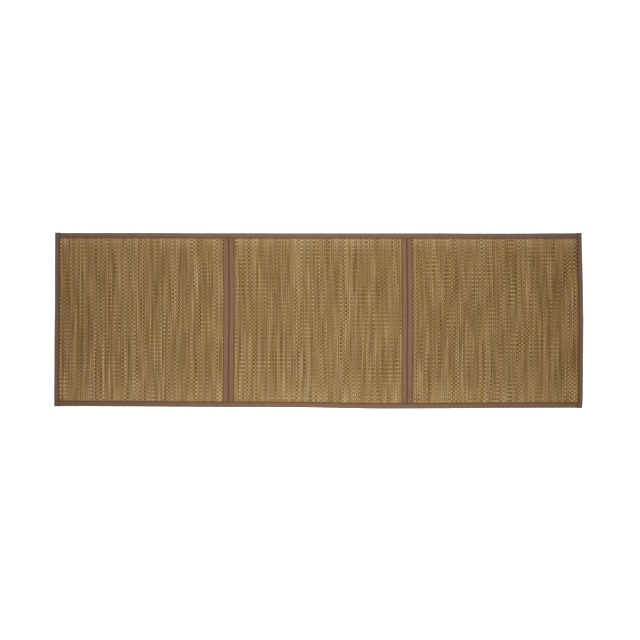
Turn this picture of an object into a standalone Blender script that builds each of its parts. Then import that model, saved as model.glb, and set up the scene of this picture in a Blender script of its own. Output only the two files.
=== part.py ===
"""A tatami mat of three rush-woven panels that fold at two cloth hinges, lying flat and open.

Frame: metres, +X along the mat towards its right end, +Y towards its back long edge, +Z up, with the origin on
the floor under the middle of the mat's bounding box.

Every piece is first worked out on a straight-edged mat that fills that box, and lie_uneven() then draws the
edges in to where the real, slightly crooked edges run. Heights are counted both ways from the mat's middle
height, so the underside is the top turned over.
"""

import bmesh
import bpy
import numpy as np

MM = 0.001

# Overall size, over the bindings
LENGTH = 1803.4 * MM
WIDTH = 601.6 * MM
THICKNESS = 6.6 * MM

# Fold lines of the two hinges
HINGE_X = {"left": -307.4 * MM, "right": 302.3 * MM}

# Cloth, and the gap that neighbouring pieces keep
CLOTH = 1.0 * MM
GAP = 0.3 * MM
LAYER = CLOTH + GAP

# Widths of the cloth strips as seen from above
BINDING_WIDTH = {"back": 19.0 * MM, "front": 19.8 * MM, "left": 18.0 * MM, "right": 17.5 * MM}
TAPE_WIDTH = 37.5 * MM

# The rush is squeezed flat under a strip, and swells to its full thickness over this distance beside it
FLAT_BESIDE = 0.5 * MM
SWELL = 8.0 * MM

# Sewing draws a strip in along its edges
STITCH_DEPTH = 0.3 * MM
STITCH_REACH = 6.0 * MM
STITCH_FROM_EDGE = 2.0 * MM

# The sewn-through fold of a hinge, and the room between its two panels
FOLD_REACH = 4.5 * MM
PANEL_TO_FOLD = 3.0 * MM

# A strip that ends under a binding stops here, clear of the binding's rounded fold
END_UNDER_BINDING = 3.4 * MM

# How far an end binding's cut end stands past the long binding's edge, at (back, front)
END_OVERHANG = {"left": (1.9 * MM, 0.6 * MM), "right": (0.6 * MM, 0.6 * MM)}

# How far the long edges lie inside the bounding box, in millimetres: (x, at the back, at the front)
LONG_EDGE_INSETS = [
    (-902, 1.9, 8.1), (-810, 1.9, 8.5), (-540, 1.9, 6.8), (-400, 2.7, 5.7), (-200, 2.7, 5.3), (-60, 3.1, 4.9),
    (75, 3.1, 2.2), (210, 3.1, 0.0), (415, 3.1, 0.8), (550, 3.9, 1.9), (690, 3.9, 2.5), (902, 2.4, 3.0),
]
# The same for the ends: (y, at the left, at the right)
END_INSETS = [
    (-301, 0.0, 4.4), (-265, 0.0, 1.9), (-200, 0.2, 1.3), (-70, 1.0, 0.4), (0, 1.8, 0.0), (70, 2.6, 1.0),
    (136, 2.6, 1.8), (205, 2.6, 3.8), (265, 3.0, 5.1), (301, 3.3, 6.0),
]

# The rounded fold of a binding and the rounded edge of a panel: angles from the top leg to the bottom leg,
# and insets from the panel's edge
FOLD_ANGLES = np.radians([90, 60, 30, 0, -30, -60, -90])
ROUND_INSETS = [0.0, 0.5 * MM, 1.8 * MM]

# A panel's edge is a round cut blunt this far in, and its long edges and ends lie so far inside the bounding box
BLUNT = 0.3 * MM
PANEL_INSIDE = LAYER + BLUNT

# Colours by the eye, in sRGB, with roughness
FINISHES = {
    "rush": ("#94764D", 0.62),
    "binding_cloth": ("#7F6553", 0.85),
    "hinge_cloth": ("#896852", 0.85),
}


def smooth(t):
    """0 below t = 0 and 1 above t = 1, with a soft S between them."""
    t = np.clip(t, 0, 1)
    return t * t * (3 - 2 * t)


def lap(inset, width):
    """1 beneath a strip of this width and close beside it, falling to 0 where the rush is at full thickness."""
    return 1 - smooth((inset - width - FLAT_BESIDE) / SWELL)


def drawn_in(inset, width):
    """How far the sewing draws a strip of this width in, at a place this far from its outer edge or fold."""
    deep = smooth((inset - width + STITCH_FROM_EDGE + STITCH_REACH) / STITCH_REACH)
    return STITCH_DEPTH * deep * lap(inset, width)


def from_long_edge(y):
    """(distance from the nearer long edge, width of its binding)."""
    return WIDTH / 2 - np.abs(y), np.where(y > 0, BINDING_WIDTH["back"], BINDING_WIDTH["front"])


def from_end(x):
    """(distance from the nearer end, width of its binding)."""
    return LENGTH / 2 - np.abs(x), np.where(x > 0, BINDING_WIDTH["right"], BINDING_WIDTH["left"])


def from_fold(x):
    """(distance from the nearer hinge's fold line, half the width of its tape)."""
    nearest = np.minimum(np.abs(x - HINGE_X["left"]), np.abs(x - HINGE_X["right"]))
    return nearest, TAPE_WIDTH / 2


def inside_tape(x, y):
    """Half the height between the two tapes of a hinge, pinched to GAP along the fold line."""
    sewn = np.maximum(drawn_in(*from_long_edge(y)), drawn_in(*from_fold(x)))
    flat = THICKNESS / 2 - CLOTH - LAYER * lap(*from_long_edge(y)) - sewn
    risen = np.sin(np.pi / 2 * np.clip(from_fold(x)[0] / FOLD_REACH, 0, 1))
    return GAP / 2 + (flat - GAP / 2) * risen


def inside_long_binding(x, inset, width):
    """Half the height between a long binding's legs; its ends sink beneath the end bindings."""
    sewn = np.maximum(drawn_in(*from_end(x)), drawn_in(inset, width))
    return THICKNESS / 2 - CLOTH - LAYER * lap(*from_end(x)) - sewn


def panel_half_height(x, y):
    """Half a panel's thickness: full in the open, and less by a layer beneath each strip that covers it."""
    strips = [from_long_edge(y), from_end(x), from_fold(x)]
    sewn = np.max([drawn_in(*strip) for strip in strips], axis=0)
    half = THICKNESS / 2 - LAYER * sum(lap(*strip) for strip in strips) - sewn
    at_fold = inside_tape(x, y) - GAP
    near = from_fold(x)[0] < FOLD_REACH
    return np.where(near, np.minimum(half, at_fold), half)


def rounded(inset, half):
    """Share of the half thickness left this far inside a panel's blunt edge, on a circle of that radius."""
    t = np.clip((inset + BLUNT) / half, 0, 1)
    return np.sqrt(1 - (1 - t) ** 2)


def insets_at(table, along):
    """The real edges' distances inside the bounding box, at places along them, from one of the two tables."""
    places, first, second = np.transpose(table) * MM
    return np.interp(along, places, first), np.interp(along, places, second)


def lie_uneven(points):
    """Moves the edges of the straight mat in to the real edges, and what lies between them in proportion."""
    x, y, z = points[..., 0], points[..., 1], points[..., 2]
    rightwards = x / LENGTH + 0.5
    backwards = y / WIDTH + 0.5
    back, front = insets_at(LONG_EDGE_INSETS, x)
    left, right = insets_at(END_INSETS, y)
    moved_x = x + (1 - rightwards) * left - rightwards * right
    moved_y = y + (1 - backwards) * front - backwards * back
    return np.stack([moved_x, moved_y, z], axis=-1)


def stations(table, low, high, insets_low, insets_high):
    """Places from low to high: the given insets from either end, and those where the table's edges turn.

    Every piece turns at the table's places, so that neighbours keep their gap all the way along.
    """
    turns = [row[0] * MM for row in table if low < row[0] * MM < high]
    start = [low + inset for inset in insets_low]
    stop = [high - inset for inset in insets_high]
    return np.array(sorted(start + turns + stop))


def beside_strip(width):
    """Insets from a strip's outer edge at which what lies beneath it and beside it changes height."""
    sewn = width - STITCH_FROM_EDGE
    clear = width + FLAT_BESIDE
    return [sewn - STITCH_REACH, sewn, clear, clear + SWELL / 2, clear + SWELL]


def material(name):
    """A Principled material of one of the mat's finishes."""
    found = bpy.data.materials.get(name)
    if found:
        return found
    colour, roughness = FINISHES[name]
    srgb = np.array([int(colour[i : i + 2], 16) / 255 for i in (1, 3, 5)])
    linear = np.where(srgb <= 0.04045, srgb / 12.92, ((srgb + 0.055) / 1.055) ** 2.4)
    made = bpy.data.materials.new(name)
    made.use_nodes = True
    shader = made.node_tree.nodes["Principled BSDF"]
    shader.inputs["Base Color"].default_value = (*linear, 1)
    shader.inputs["Roughness"].default_value = roughness
    shader.inputs["Metallic"].default_value = 0
    return made


def grid_mesh(name, points, points_below=None, turned=False):
    """A grid primitive moved to an array of points, or turned over to face the other way.

    With points_below, it is a closed slab between the two arrays.
    """
    rows, columns = points.shape[:2]
    shape = bmesh.new()
    bmesh.ops.create_grid(shape, x_segments=rows - 1, y_segments=columns - 1, size=1)
    tops = {}
    for vertex in shape.verts:
        i = round((vertex.co.x + 1) / 2 * (rows - 1))
        j = round((vertex.co.y + 1) / 2 * (columns - 1))
        tops[vertex] = (i, j)
        vertex.co = points[i, j]
    if points_below is not None:
        below = bmesh.ops.duplicate(shape, geom=list(shape.verts) + list(shape.edges) + list(shape.faces))
        for vertex, (i, j) in tops.items():
            below["vert_map"][vertex].co = points_below[i, j]
        bmesh.ops.bridge_loops(shape, edges=[edge for edge in shape.edges if edge.is_boundary])
        bmesh.ops.recalc_face_normals(shape, faces=shape.faces)
    if turned:
        bmesh.ops.reverse_faces(shape, faces=shape.faces)
    mesh = bpy.data.meshes.new(name)
    shape.to_mesh(mesh)
    shape.free()
    mesh.shade_smooth()
    return mesh


def place(name, mesh, finish, collection):
    """Puts a mesh into the scene as one piece of the mat, lifted from its middle height onto the floor."""
    mesh.materials.append(material(finish))
    piece = bpy.data.objects.new(name, mesh)
    piece.location.z = THICKNESS / 2
    collection.objects.link(piece)
    return piece


def thicken(piece):
    """Gives a strip its thickness, outwards from the surface that faces the rush."""
    solid = piece.modifiers.new("Cloth thickness", "SOLIDIFY")
    solid.thickness = CLOTH
    solid.offset = 1
    solid.use_even_offset = True


def make_panel(name, low, high, insets_low, insets_high, collection):
    """A woven panel between two places along the mat: a slab whose edges are squeezed flat and rounded."""
    y_edge = WIDTH / 2 - PANEL_INSIDE
    y_insets = [
        ROUND_INSETS + [inset - PANEL_INSIDE for inset in beside_strip(BINDING_WIDTH[edge])]
        for edge in ("front", "back")
    ]
    x, y = np.meshgrid(
        stations(LONG_EDGE_INSETS, low, high, insets_low, insets_high),
        stations(END_INSETS, -y_edge, y_edge, *y_insets),
        indexing="ij",
    )
    half = panel_half_height(x, y)
    half = half * rounded(np.minimum(x - low, high - x), half) * rounded(y_edge - np.abs(y), half)
    top = lie_uneven(np.stack([x, y, half], axis=-1))
    bottom = top * (1, 1, -1)
    place(name, grid_mesh(name, top, bottom), "rush", collection)


def make_panels(collection):
    """The three panels, which stop short of the end bindings' folds and of the hinges' folds."""
    end = LENGTH / 2 - PANEL_INSIDE
    at_end = {
        side: ROUND_INSETS + [inset - PANEL_INSIDE for inset in beside_strip(BINDING_WIDTH[side])]
        for side in ("left", "right")
    }
    at_fold = ROUND_INSETS[:1] + [FOLD_REACH - PANEL_TO_FOLD]
    at_fold += [inset - PANEL_TO_FOLD for inset in beside_strip(TAPE_WIDTH / 2)]
    left, right = HINGE_X["left"], HINGE_X["right"]
    make_panel("panel_left", -end, left - PANEL_TO_FOLD, at_end["left"], at_fold, collection)
    make_panel("panel_middle", left + PANEL_TO_FOLD, right - PANEL_TO_FOLD, at_fold, at_fold, collection)
    make_panel("panel_right", right + PANEL_TO_FOLD, end, at_fold, at_end["right"], collection)


def folded_strip(half_height, inset_of, fold_half):
    """Half heights and insets along a strip that is folded round an edge: top leg, round fold, bottom leg.

    half_height(inset) is the legs' half height at each inset of inset_of, from the strip's inner edge to its
    fold, and fold_half the radius of the fold, whose outermost point lies CLOTH inside the edge.
    """
    legs = np.array([half_height(inset) for inset in inset_of])
    arc_inset = [CLOTH + fold_half * (1 - np.cos(angle)) for angle in FOLD_ANGLES]
    arc_height = [fold_half * np.sin(angle) for angle in FOLD_ANGLES]
    insets = [np.full_like(fold_half, inset) for inset in inset_of]
    return (
        np.array(insets + arc_inset + insets[::-1]),
        np.concatenate([legs, arc_height, -legs[::-1]]),
    )


def leg_insets(width):
    """Insets of the points across a binding's leg, from its inner edge towards its fold."""
    sewn = width - STITCH_FROM_EDGE
    return [width, sewn, sewn - STITCH_REACH]


def make_long_binding(edge, collection):
    """A cloth strip folded round a long edge of the mat, whose ends sink beneath the end bindings."""
    width = BINDING_WIDTH[edge]
    end = LENGTH / 2 - END_UNDER_BINDING
    ends = [
        [0.0] + [inset - END_UNDER_BINDING for inset in beside_strip(BINDING_WIDTH[side])]
        for side in ("left", "right")
    ]
    x = stations(LONG_EDGE_INSETS, -end, end, *ends)
    fold_half = THICKNESS / 2 - CLOTH - LAYER * lap(*from_end(x)) - drawn_in(*from_end(x))
    inset, height = folded_strip(lambda at: inside_long_binding(x, at, width), leg_insets(width), fold_half)
    side = 1 if edge == "back" else -1
    points = np.stack([np.broadcast_to(x, inset.shape), side * (WIDTH / 2 - inset), height], axis=-1)
    name = "binding_" + edge
    mesh = grid_mesh(name, lie_uneven(points), turned=side > 0)
    piece = place(name, mesh, "binding_cloth", collection)
    thicken(piece)


def make_end_binding(end, collection):
    """A cloth strip folded round an end of the mat, over the ends of both long bindings."""
    width = BINDING_WIDTH[end]
    past_back, past_front = END_OVERHANG[end]
    corners = [[0.0, past + BINDING_WIDTH[edge]] for edge, past in (("front", past_front), ("back", past_back))]
    y = stations(END_INSETS, -WIDTH / 2 - past_front, WIDTH / 2 + past_back, *corners)
    fold_half = np.full_like(y, THICKNESS / 2 - CLOTH)
    inset, height = folded_strip(lambda at: fold_half - drawn_in(at, width), leg_insets(width), fold_half)
    side = 1 if end == "right" else -1
    points = np.stack([side * (LENGTH / 2 - inset), np.broadcast_to(y, inset.shape), height], axis=-1)
    name = "binding_" + end
    mesh = grid_mesh(name, lie_uneven(points), turned=side < 0)
    piece = place(name, mesh, "binding_cloth", collection)
    thicken(piece)


def make_hinge_tape(hinge, face, collection):
    """A flat tape over or under two panels, sewn to both, and to the other tape along the fold line."""
    end = WIDTH / 2 - END_UNDER_BINDING
    ends = [
        [0.0] + [inset - END_UNDER_BINDING for inset in beside_strip(BINDING_WIDTH[edge])]
        for edge in ("front", "back")
    ]
    half_width = TAPE_WIDTH / 2
    sewn = half_width - STITCH_FROM_EDGE
    rising = [0, PANEL_TO_FOLD / 2, PANEL_TO_FOLD, FOLD_REACH]
    outwards = np.array(rising + [sewn - STITCH_REACH, sewn, half_width])
    across = np.concatenate([-outwards[:0:-1], outwards])
    x, y = np.meshgrid(HINGE_X[hinge] + across, stations(END_INSETS, -end, end, *ends), indexing="ij")
    side = 1 if face == "top" else -1
    points = lie_uneven(np.stack([x, y, side * inside_tape(x, y)], axis=-1))
    name = f"hinge_tape_{hinge}_{face}"
    piece = place(name, grid_mesh(name, points, turned=side < 0), "hinge_cloth", collection)
    thicken(piece)


def clear_scene():
    """Removes whatever the scene holds."""
    for piece in list(bpy.data.objects):
        bpy.data.objects.remove(piece, do_unlink=True)


def main():
    clear_scene()
    mat = bpy.data.collections.new("tatami_mat")
    bpy.context.scene.collection.children.link(mat)
    make_panels(mat)
    for edge in ("back", "front"):
        make_long_binding(edge, mat)
    for end in ("left", "right"):
        make_end_binding(end, mat)
    for hinge in HINGE_X:
        for face in ("top", "under"):
            make_hinge_tape(hinge, face, mat)


main()
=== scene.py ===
"""A folding tatami mat: three panels of plain-woven rush, bound and hinged with cloth, lying open.

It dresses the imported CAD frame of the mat. Every shape is first worked out on a straight-edged mat that
fills the frame's box, with heights counted both ways from the middle height. lie_uneven() then draws its
edges in to where the real, slightly crooked edges run, with the same values as the mat's CAD source.
"""

import bpy
import numpy as np
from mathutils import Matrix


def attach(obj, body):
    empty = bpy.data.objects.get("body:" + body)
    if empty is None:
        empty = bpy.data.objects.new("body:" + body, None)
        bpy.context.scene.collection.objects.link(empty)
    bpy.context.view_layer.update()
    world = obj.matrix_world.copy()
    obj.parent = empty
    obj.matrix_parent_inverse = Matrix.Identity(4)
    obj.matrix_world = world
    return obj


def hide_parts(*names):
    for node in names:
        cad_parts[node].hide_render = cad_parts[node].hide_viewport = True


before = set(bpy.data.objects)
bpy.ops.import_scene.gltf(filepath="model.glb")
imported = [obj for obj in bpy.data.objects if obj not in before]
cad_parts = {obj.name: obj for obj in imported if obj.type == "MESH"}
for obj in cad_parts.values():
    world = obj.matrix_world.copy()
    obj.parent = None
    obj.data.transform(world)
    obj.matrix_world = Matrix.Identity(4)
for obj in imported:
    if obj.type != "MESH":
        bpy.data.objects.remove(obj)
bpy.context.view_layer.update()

bl_info = {
    "name": "Folding tatami mat",
    "version": (1, 0, 0),
    "blender": (4, 5, 0),
    "location": "View3D > Sidebar > Tatami",
    "description": "Weaves, binds, hinges and sews a folding rush mat over its CAD frame",
    "category": "Add Mesh",
}

MM = 0.001
BODY = "root"

# Overall size of the straight mat, its fold lines, and the thickness and spacing of its cloth
LENGTH = 1803.4 * MM
WIDTH = 601.6 * MM
THICKNESS = 6.6 * MM
HINGE_X = {"left": -307.4 * MM, "right": 302.3 * MM}
CLOTH = 1.0 * MM
GAP = 0.3 * MM
LAYER = CLOTH + GAP

# Widths of the cloth strips as seen from above
BINDING_WIDTH = {"back": 19.0 * MM, "front": 19.8 * MM, "left": 18.0 * MM, "right": 17.5 * MM}
TAPE_WIDTH = 37.5 * MM

# The rush is squeezed flat under a strip and this far beside it, and then swells to its full thickness
FLAT_BESIDE = 0.5 * MM
SWELL = 8.0 * MM
# Sewing draws a strip in by a depth, over a reach, and its seam lies this far inside its edge
STITCH_DEPTH = 0.3 * MM
STITCH_REACH = 6.0 * MM
STITCH_FROM_EDGE = 2.0 * MM
TAPE_STITCH_FROM_EDGE = 1.3 * MM

# The sewn-through fold of a hinge, and where panels and strips end
FOLD_REACH = 4.5 * MM
PANEL_TO_FOLD = 3.0 * MM
END_UNDER_BINDING = 3.4 * MM
END_OVERHANG = {"left": (1.9 * MM, 0.6 * MM), "right": (0.6 * MM, 0.6 * MM)}
# How far an end binding's sewn ends are pulled in from the ends of its solid, at the back and the front
END_PULL = {"left": (1.1 * MM, 0.9 * MM), "right": (0.2 * MM, 0.2 * MM)}
BLUNT = 0.3 * MM
PANEL_INSIDE = LAYER + BLUNT

# How far the long edges lie inside the box, in millimetres: (x, at the back, at the front)
LONG_EDGE_INSETS = [
    (-902, 1.9, 8.1), (-810, 1.9, 8.5), (-540, 1.9, 6.8), (-400, 2.7, 5.7),
    (-200, 2.7, 5.3), (-60, 3.1, 4.9), (75, 3.1, 2.2), (210, 3.1, 0.0),
    (415, 3.1, 0.8), (550, 3.9, 1.9), (690, 3.9, 2.5), (902, 2.4, 3.0),
]
# The same for the ends: (y, at the left, at the right)
END_INSETS = [
    (-301, 0.0, 4.4), (-265, 0.0, 1.9), (-200, 0.2, 1.3), (-70, 1.0, 0.4), (0, 1.8, 0.0),
    (70, 2.6, 1.0), (136, 2.6, 1.8), (205, 2.6, 3.8), (265, 3.0, 5.1), (301, 3.3, 6.0),
]

# Where each panel starts and ends along the mat
PANELS = {
    "left": (-LENGTH / 2 + PANEL_INSIDE, HINGE_X["left"] - PANEL_TO_FOLD),
    "middle": (HINGE_X["left"] + PANEL_TO_FOLD, HINGE_X["right"] - PANEL_TO_FOLD),
    "right": (HINGE_X["right"] + PANEL_TO_FOLD, LENGTH / 2 - PANEL_INSIDE),
}


def linear(code):
    """An sRGB hex colour as linear red, green and blue."""
    srgb = np.array([int(code[i : i + 2], 16) / 255 for i in (1, 3, 5)])
    return tuple(np.where(srgb <= 0.04045, srgb / 12.92, ((srgb + 0.055) / 1.055) ** 2.4).tolist())


def length_property(name, description, default):
    """A size, which the sidebar shows in the scene's own unit of length."""
    return bpy.props.FloatProperty(
        name=name,
        description=description,
        default=default,
        min=0.0,
        precision=5,
        unit="LENGTH",
        subtype="DISTANCE",
    )


def colour_property(name, description, code):
    """A colour, given as an sRGB hex code and kept as linear values."""
    return bpy.props.FloatVectorProperty(
        name=name,
        description=description,
        default=linear(code),
        size=3,
        min=0.0,
        max=1.0,
        subtype="COLOR",
    )


def share_property(name, description, default):
    """A share or a strength, which has no unit."""
    return bpy.props.FloatProperty(
        name=name, description=description, default=default, min=0.0, max=4.0, precision=3
    )


class TatamiWeave(bpy.types.PropertyGroup):
    """Sizes and colours of the woven rush."""

    stem: length_property("Stem width", "Mean width of a stem, two or three times the real one", 3.6 * MM)
    crossing: length_property("Crossing", "Distance between two warp strings along the stems", 6.9 * MM)
    string: length_property("String", "Radius of a warp string", 0.5 * MM)
    middle: share_property("Middle", "Mean height of a stem's top, as a share of half the mat", 0.42)
    swing: share_property("Swing", "How far a stem's top rises and dips from there, as the same share", 0.58)
    unlike: share_property("Unlike", "How far a stem's width may lie from the mean, as a share of it", 0.3)
    notch: share_property("Notch", "How deep the lines between two picks lie, as the same share", 0.26)
    # The strength of the painted shade in a few stems' dips
    pit: share_property("Pit", "How much of its light a parted dip between two stems loses", 0.65)
    seed: bpy.props.IntProperty(name="Seed", description="Start of the draws for the stems", default=11)
    tan: colour_property("Tan", "Commonest colour of the dried rush", "#957447")
    ochre: colour_property("Ochre", "Yellow stems, a little paler", "#987741")
    olive: colour_property("Olive", "Stems that dried greenish", "#917548")
    russet: colour_property("Russet", "Stems that weathered to a reddish brown", "#957349")
    cord: colour_property("Cord", "Warp strings", "#6A4E2C")


class TatamiCloth(bpy.types.PropertyGroup):
    """Sizes and colours of the binding cloth, the hinge cloth and the thread."""

    step: length_property("Step", "Distance between the cloth's rings of points along a strip", 8.0 * MM)
    rounding: length_property("Edge rounding", "How far a strip's turned-in edge drops", 0.35 * MM)
    slack: length_property("Slack", "How far the cloth lies unevenly", 0.3 * MM)
    proud: length_property("Corner rise", "How far the end bindings rise at the corners", 0.4 * MM)
    wander: length_property("Crease wander", "How far a hinge's crease runs off its straight line", 1.0 * MM)
    stitch: length_property("Stitch pitch", "Distance between two stitches", 6.0 * MM)
    thread: length_property("Thread", "Radius of the sewing thread", 0.4 * MM)
    weave: length_property("Thread pitch", "Spacing of the cloth's threads", 0.9 * MM)
    binding: colour_property("Binding", "Binding cloth on the flat", "#7F5E49")
    # The turned-in edges' russet is partly the hem's own colour and partly painted shade of the groove at the
    # seam
    long_edge: colour_property("Long edge", "The long bindings along their turned-in edges", "#764C21")
    end_edge: colour_property("End edge", "The end bindings along their turned-in edges", "#6B401D")
    binding_fold: colour_property("Binding fold", "Binding cloth, greyed by wear at the fold", "#786458")
    binding_corner: colour_property("Binding corner", "Binding cloth, greyed on the mat's corners", "#6C5D50")
    hinge: colour_property("Hinge", "Hinge cloth", "#7F5D46")
    # The hinge cloth's darker edges and crease are painted shade
    hinge_edge: colour_property("Hinge edge", "Hinge cloth along its edges and crease", "#64401C")
    sewing: colour_property("Sewing", "Sewing thread", "#3A2216")


class TatamiStage(bpy.types.PropertyGroup):
    """Floor, lights and camera."""

    key_power: bpy.props.FloatProperty(
        name="Key", description="Power of the overhead light", default=21.6, unit="POWER"
    )
    key_size: length_property("Key size", "Width of the overhead light", 0.9)
    key_height: length_property("Key height", "Height of the overhead light", 1.5)
    fill: share_property("Fill", "Strength of the even light from all round", 0.325)
    glow: share_property("Floor glow", "How brightly the white table shines of itself", 0.75)
    floor: colour_property("Floor", "Colour of the white table", "#F6F6F4")
    reach: length_property("Floor reach", "Half the width of the white table", 40.0)
    lens: bpy.props.FloatProperty(name="Lens", description="Focal length", default=85.0, unit="CAMERA")
    frame_width: length_property("Frame width", "Width that the picture shows at the mat's top", 2.1792)
    aim_x: bpy.props.FloatProperty(name="Aim X", description="Camera's X on the mat", default=4.15 * MM)
    aim_y: bpy.props.FloatProperty(name="Aim Y", description="Camera's Y on the mat", default=1.86 * MM)


# Shape of the straight mat, as in its CAD source


def smooth(t):
    """0 below t = 0 and 1 above t = 1, with a soft S between them."""
    t = np.clip(t, 0, 1)
    return t * t * (3 - 2 * t)


def hump(distance, reach):
    """1 at no distance, about a third at the reach, and softly nothing beyond it."""
    return np.exp(-((distance / reach) ** 2))


def lap(inset, width):
    """1 beneath a strip of this width and close beside it, and 0 where the rush is at full thickness."""
    return 1 - smooth((inset - width - FLAT_BESIDE) / SWELL)


def drawn_in(inset, width):
    """How far the sewing draws a strip of this width in, this far from its outer edge or fold."""
    deep = smooth((inset - width + STITCH_FROM_EDGE + STITCH_REACH) / STITCH_REACH)
    return STITCH_DEPTH * deep * lap(inset, width)


def from_long_edge(y):
    """(distance from the nearer long edge, width of its binding)."""
    return WIDTH / 2 - np.abs(y), np.where(y > 0, BINDING_WIDTH["back"], BINDING_WIDTH["front"])


def from_end(x):
    """(distance from the nearer end, width of its binding)."""
    return LENGTH / 2 - np.abs(x), np.where(x > 0, BINDING_WIDTH["right"], BINDING_WIDTH["left"])


def from_fold(x):
    """(distance from the nearer hinge's fold line, half the width of its tape)."""
    nearest = np.minimum(np.abs(x - HINGE_X["left"]), np.abs(x - HINGE_X["right"]))
    return nearest, TAPE_WIDTH / 2


def inside_tape(x, y):
    """Half the height between the two tapes of a hinge, pinched to GAP along the fold line."""
    sewn = np.maximum(drawn_in(*from_long_edge(y)), drawn_in(*from_fold(x)))
    flat = THICKNESS / 2 - CLOTH - LAYER * lap(*from_long_edge(y)) - sewn
    risen = np.sin(np.pi / 2 * np.clip(from_fold(x)[0] / FOLD_REACH, 0, 1))
    return GAP / 2 + (flat - GAP / 2) * risen


def inside_long_binding(x, inset, width):
    """Half the height between a long binding's legs; its ends sink beneath the end bindings."""
    sewn = np.maximum(drawn_in(*from_end(x)), drawn_in(inset, width))
    return THICKNESS / 2 - CLOTH - LAYER * lap(*from_end(x)) - sewn


def panel_half_height(x, y):
    """Half a panel's thickness: full in the open, and a layer less beneath each strip that covers it."""
    strips = [from_long_edge(y), from_end(x), from_fold(x)]
    sewn = np.max([drawn_in(*strip) for strip in strips], axis=0)
    half = THICKNESS / 2 - LAYER * sum(lap(*strip) for strip in strips) - sewn
    at_fold = inside_tape(x, y) - GAP
    near = from_fold(x)[0] < FOLD_REACH
    return np.where(near, np.minimum(half, at_fold), half)


def rounded(inset, half):
    """Share of the half thickness left this far inside a panel's blunt edge, on a circle of that radius."""
    t = np.clip((inset + BLUNT) / half, 0, 1)
    return np.sqrt(1 - (1 - t) ** 2)


def insets_at(table, along):
    """The real edges' distances inside the box, at places along them, from one of the two tables."""
    places, first, second = np.transpose(table) * MM
    return np.interp(along, places, first), np.interp(along, places, second)


def lie_uneven(x, y, height):
    """Points of the straight mat moved to the real one.

    The edges go in to where they run, what lies between them moves in proportion, and the middle height goes
    to half the mat's thickness over the floor.
    """
    rightwards = x / LENGTH + 0.5
    backwards = y / WIDTH + 0.5
    back, front = insets_at(LONG_EDGE_INSETS, x)
    left, right = insets_at(END_INSETS, y)
    moved_x = x + (1 - rightwards) * left - rightwards * right
    moved_y = y + (1 - backwards) * front - backwards * back
    return np.stack(np.broadcast_arrays(moved_x, moved_y, height + THICKNESS / 2), axis=-1)


# Soft noise is the sum of so many waves, divided so that it seldom leaves -1 to 1
WAVES = 7
WAVES_DIVIDED_BY = 3.2


def drift(x, y, seed, long_x, long_y):
    """Soft noise from about -1 to 1: sine waves of random direction and start, about long_x by long_y."""
    draw = np.random.default_rng(seed)
    across, along, start = draw.uniform(-1, 1, (3, WAVES))
    x, y = np.broadcast_arrays(x, y)
    turns = x[..., None] * (across / long_x) + y[..., None] * ((0.5 + 0.5 * along) / long_y) + start
    return np.sin(2 * np.pi * turns).sum(axis=-1) / WAVES_DIVIDED_BY


# Meshes from arrays


def grid_quads(rows, columns, turned=False):
    """Corner numbers of a grid's quads, facing +Z where its rows go along +X and its columns along +Y."""
    i, j = np.meshgrid(np.arange(rows - 1), np.arange(columns - 1), indexing="ij")
    first = (i * columns + j).ravel()
    quads = np.stack([first, first + columns, first + columns + 1, first + 1], axis=-1)
    return quads[:, ::-1] if turned else quads


def add_piece(name, points, faces, material, uv=None, values=None):
    """A smooth-shaded piece at the origin from an array of points and one of corner numbers."""
    mesh = bpy.data.meshes.new(name)
    mesh.from_pydata(points.reshape(-1, 3), [], faces)
    corners = np.empty(len(mesh.loops), dtype=np.int32)
    mesh.loops.foreach_get("vertex_index", corners)
    if uv is not None:
        layer = mesh.uv_layers.new(name="UVMap")
        layer.data.foreach_set("uv", uv.reshape(-1, 2)[corners].astype(np.float32).ravel())
    for key, value in (values or {}).items():
        layer = mesh.attributes.new(key, "FLOAT", "POINT")
        layer.data.foreach_set("value", value.astype(np.float32).ravel())
    mesh.shade_smooth()
    mesh.materials.append(material)
    piece = bpy.data.objects.new(name, mesh)
    bpy.context.scene.collection.objects.link(piece)
    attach(piece, BODY)
    return piece


def crease_edges(mesh, in_crease):
    """Marks sharp the edges whose two points both lie in a crease."""
    ends = np.empty(len(mesh.edges) * 2, dtype=np.int32)
    mesh.edges.foreach_get("vertices", ends)
    sharp = in_crease[ends].reshape(-1, 2).all(axis=1)
    mesh.attributes.new("sharp_edge", "BOOLEAN", "EDGE").data.foreach_set("value", sharp)


# How much of the solids' cloth thickness the cloth itself has, which keeps it off the layer beneath
CLOTH_SHARE = 0.9


def add_strip(name, points, turned, material, uv, values):
    """A piece of cloth from rows of points on its outer face, with its thickness added inwards."""
    quads = grid_quads(*points.shape[:2], turned=turned)
    piece = add_piece(name, points, quads, material, uv, values)
    solid = piece.modifiers.new("Cloth thickness", "SOLIDIFY")
    solid.thickness = CLOTH * CLOTH_SHARE
    solid.offset = -1
    return piece


# Materials

# The span that a noise texture's value seldom leaves
NOISE_SPAN = {"From Min": 0.3, "From Max": 0.7}


def add_node(tree, kind, sockets=None, **settings):
    """Adds a node, sets its settings, and gives each socket a value or a link to another node's output.

    A socket is given by its number or its name, and a node stands for its own first output in use.
    """
    made = tree.nodes.new(kind)
    for key, value in settings.items():
        setattr(made, key, value)
    for key, value in (sockets or {}).items():
        if isinstance(key, int):
            socket = made.inputs[key]
        else:
            socket = next(s for s in made.inputs if s.name == key and s.enabled)
        if isinstance(value, bpy.types.Node):
            value = next(s for s in value.outputs if s.enabled)
        if isinstance(value, bpy.types.NodeSocket):
            tree.links.new(value, socket)
        else:
            socket.default_value = value
    return made


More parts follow.
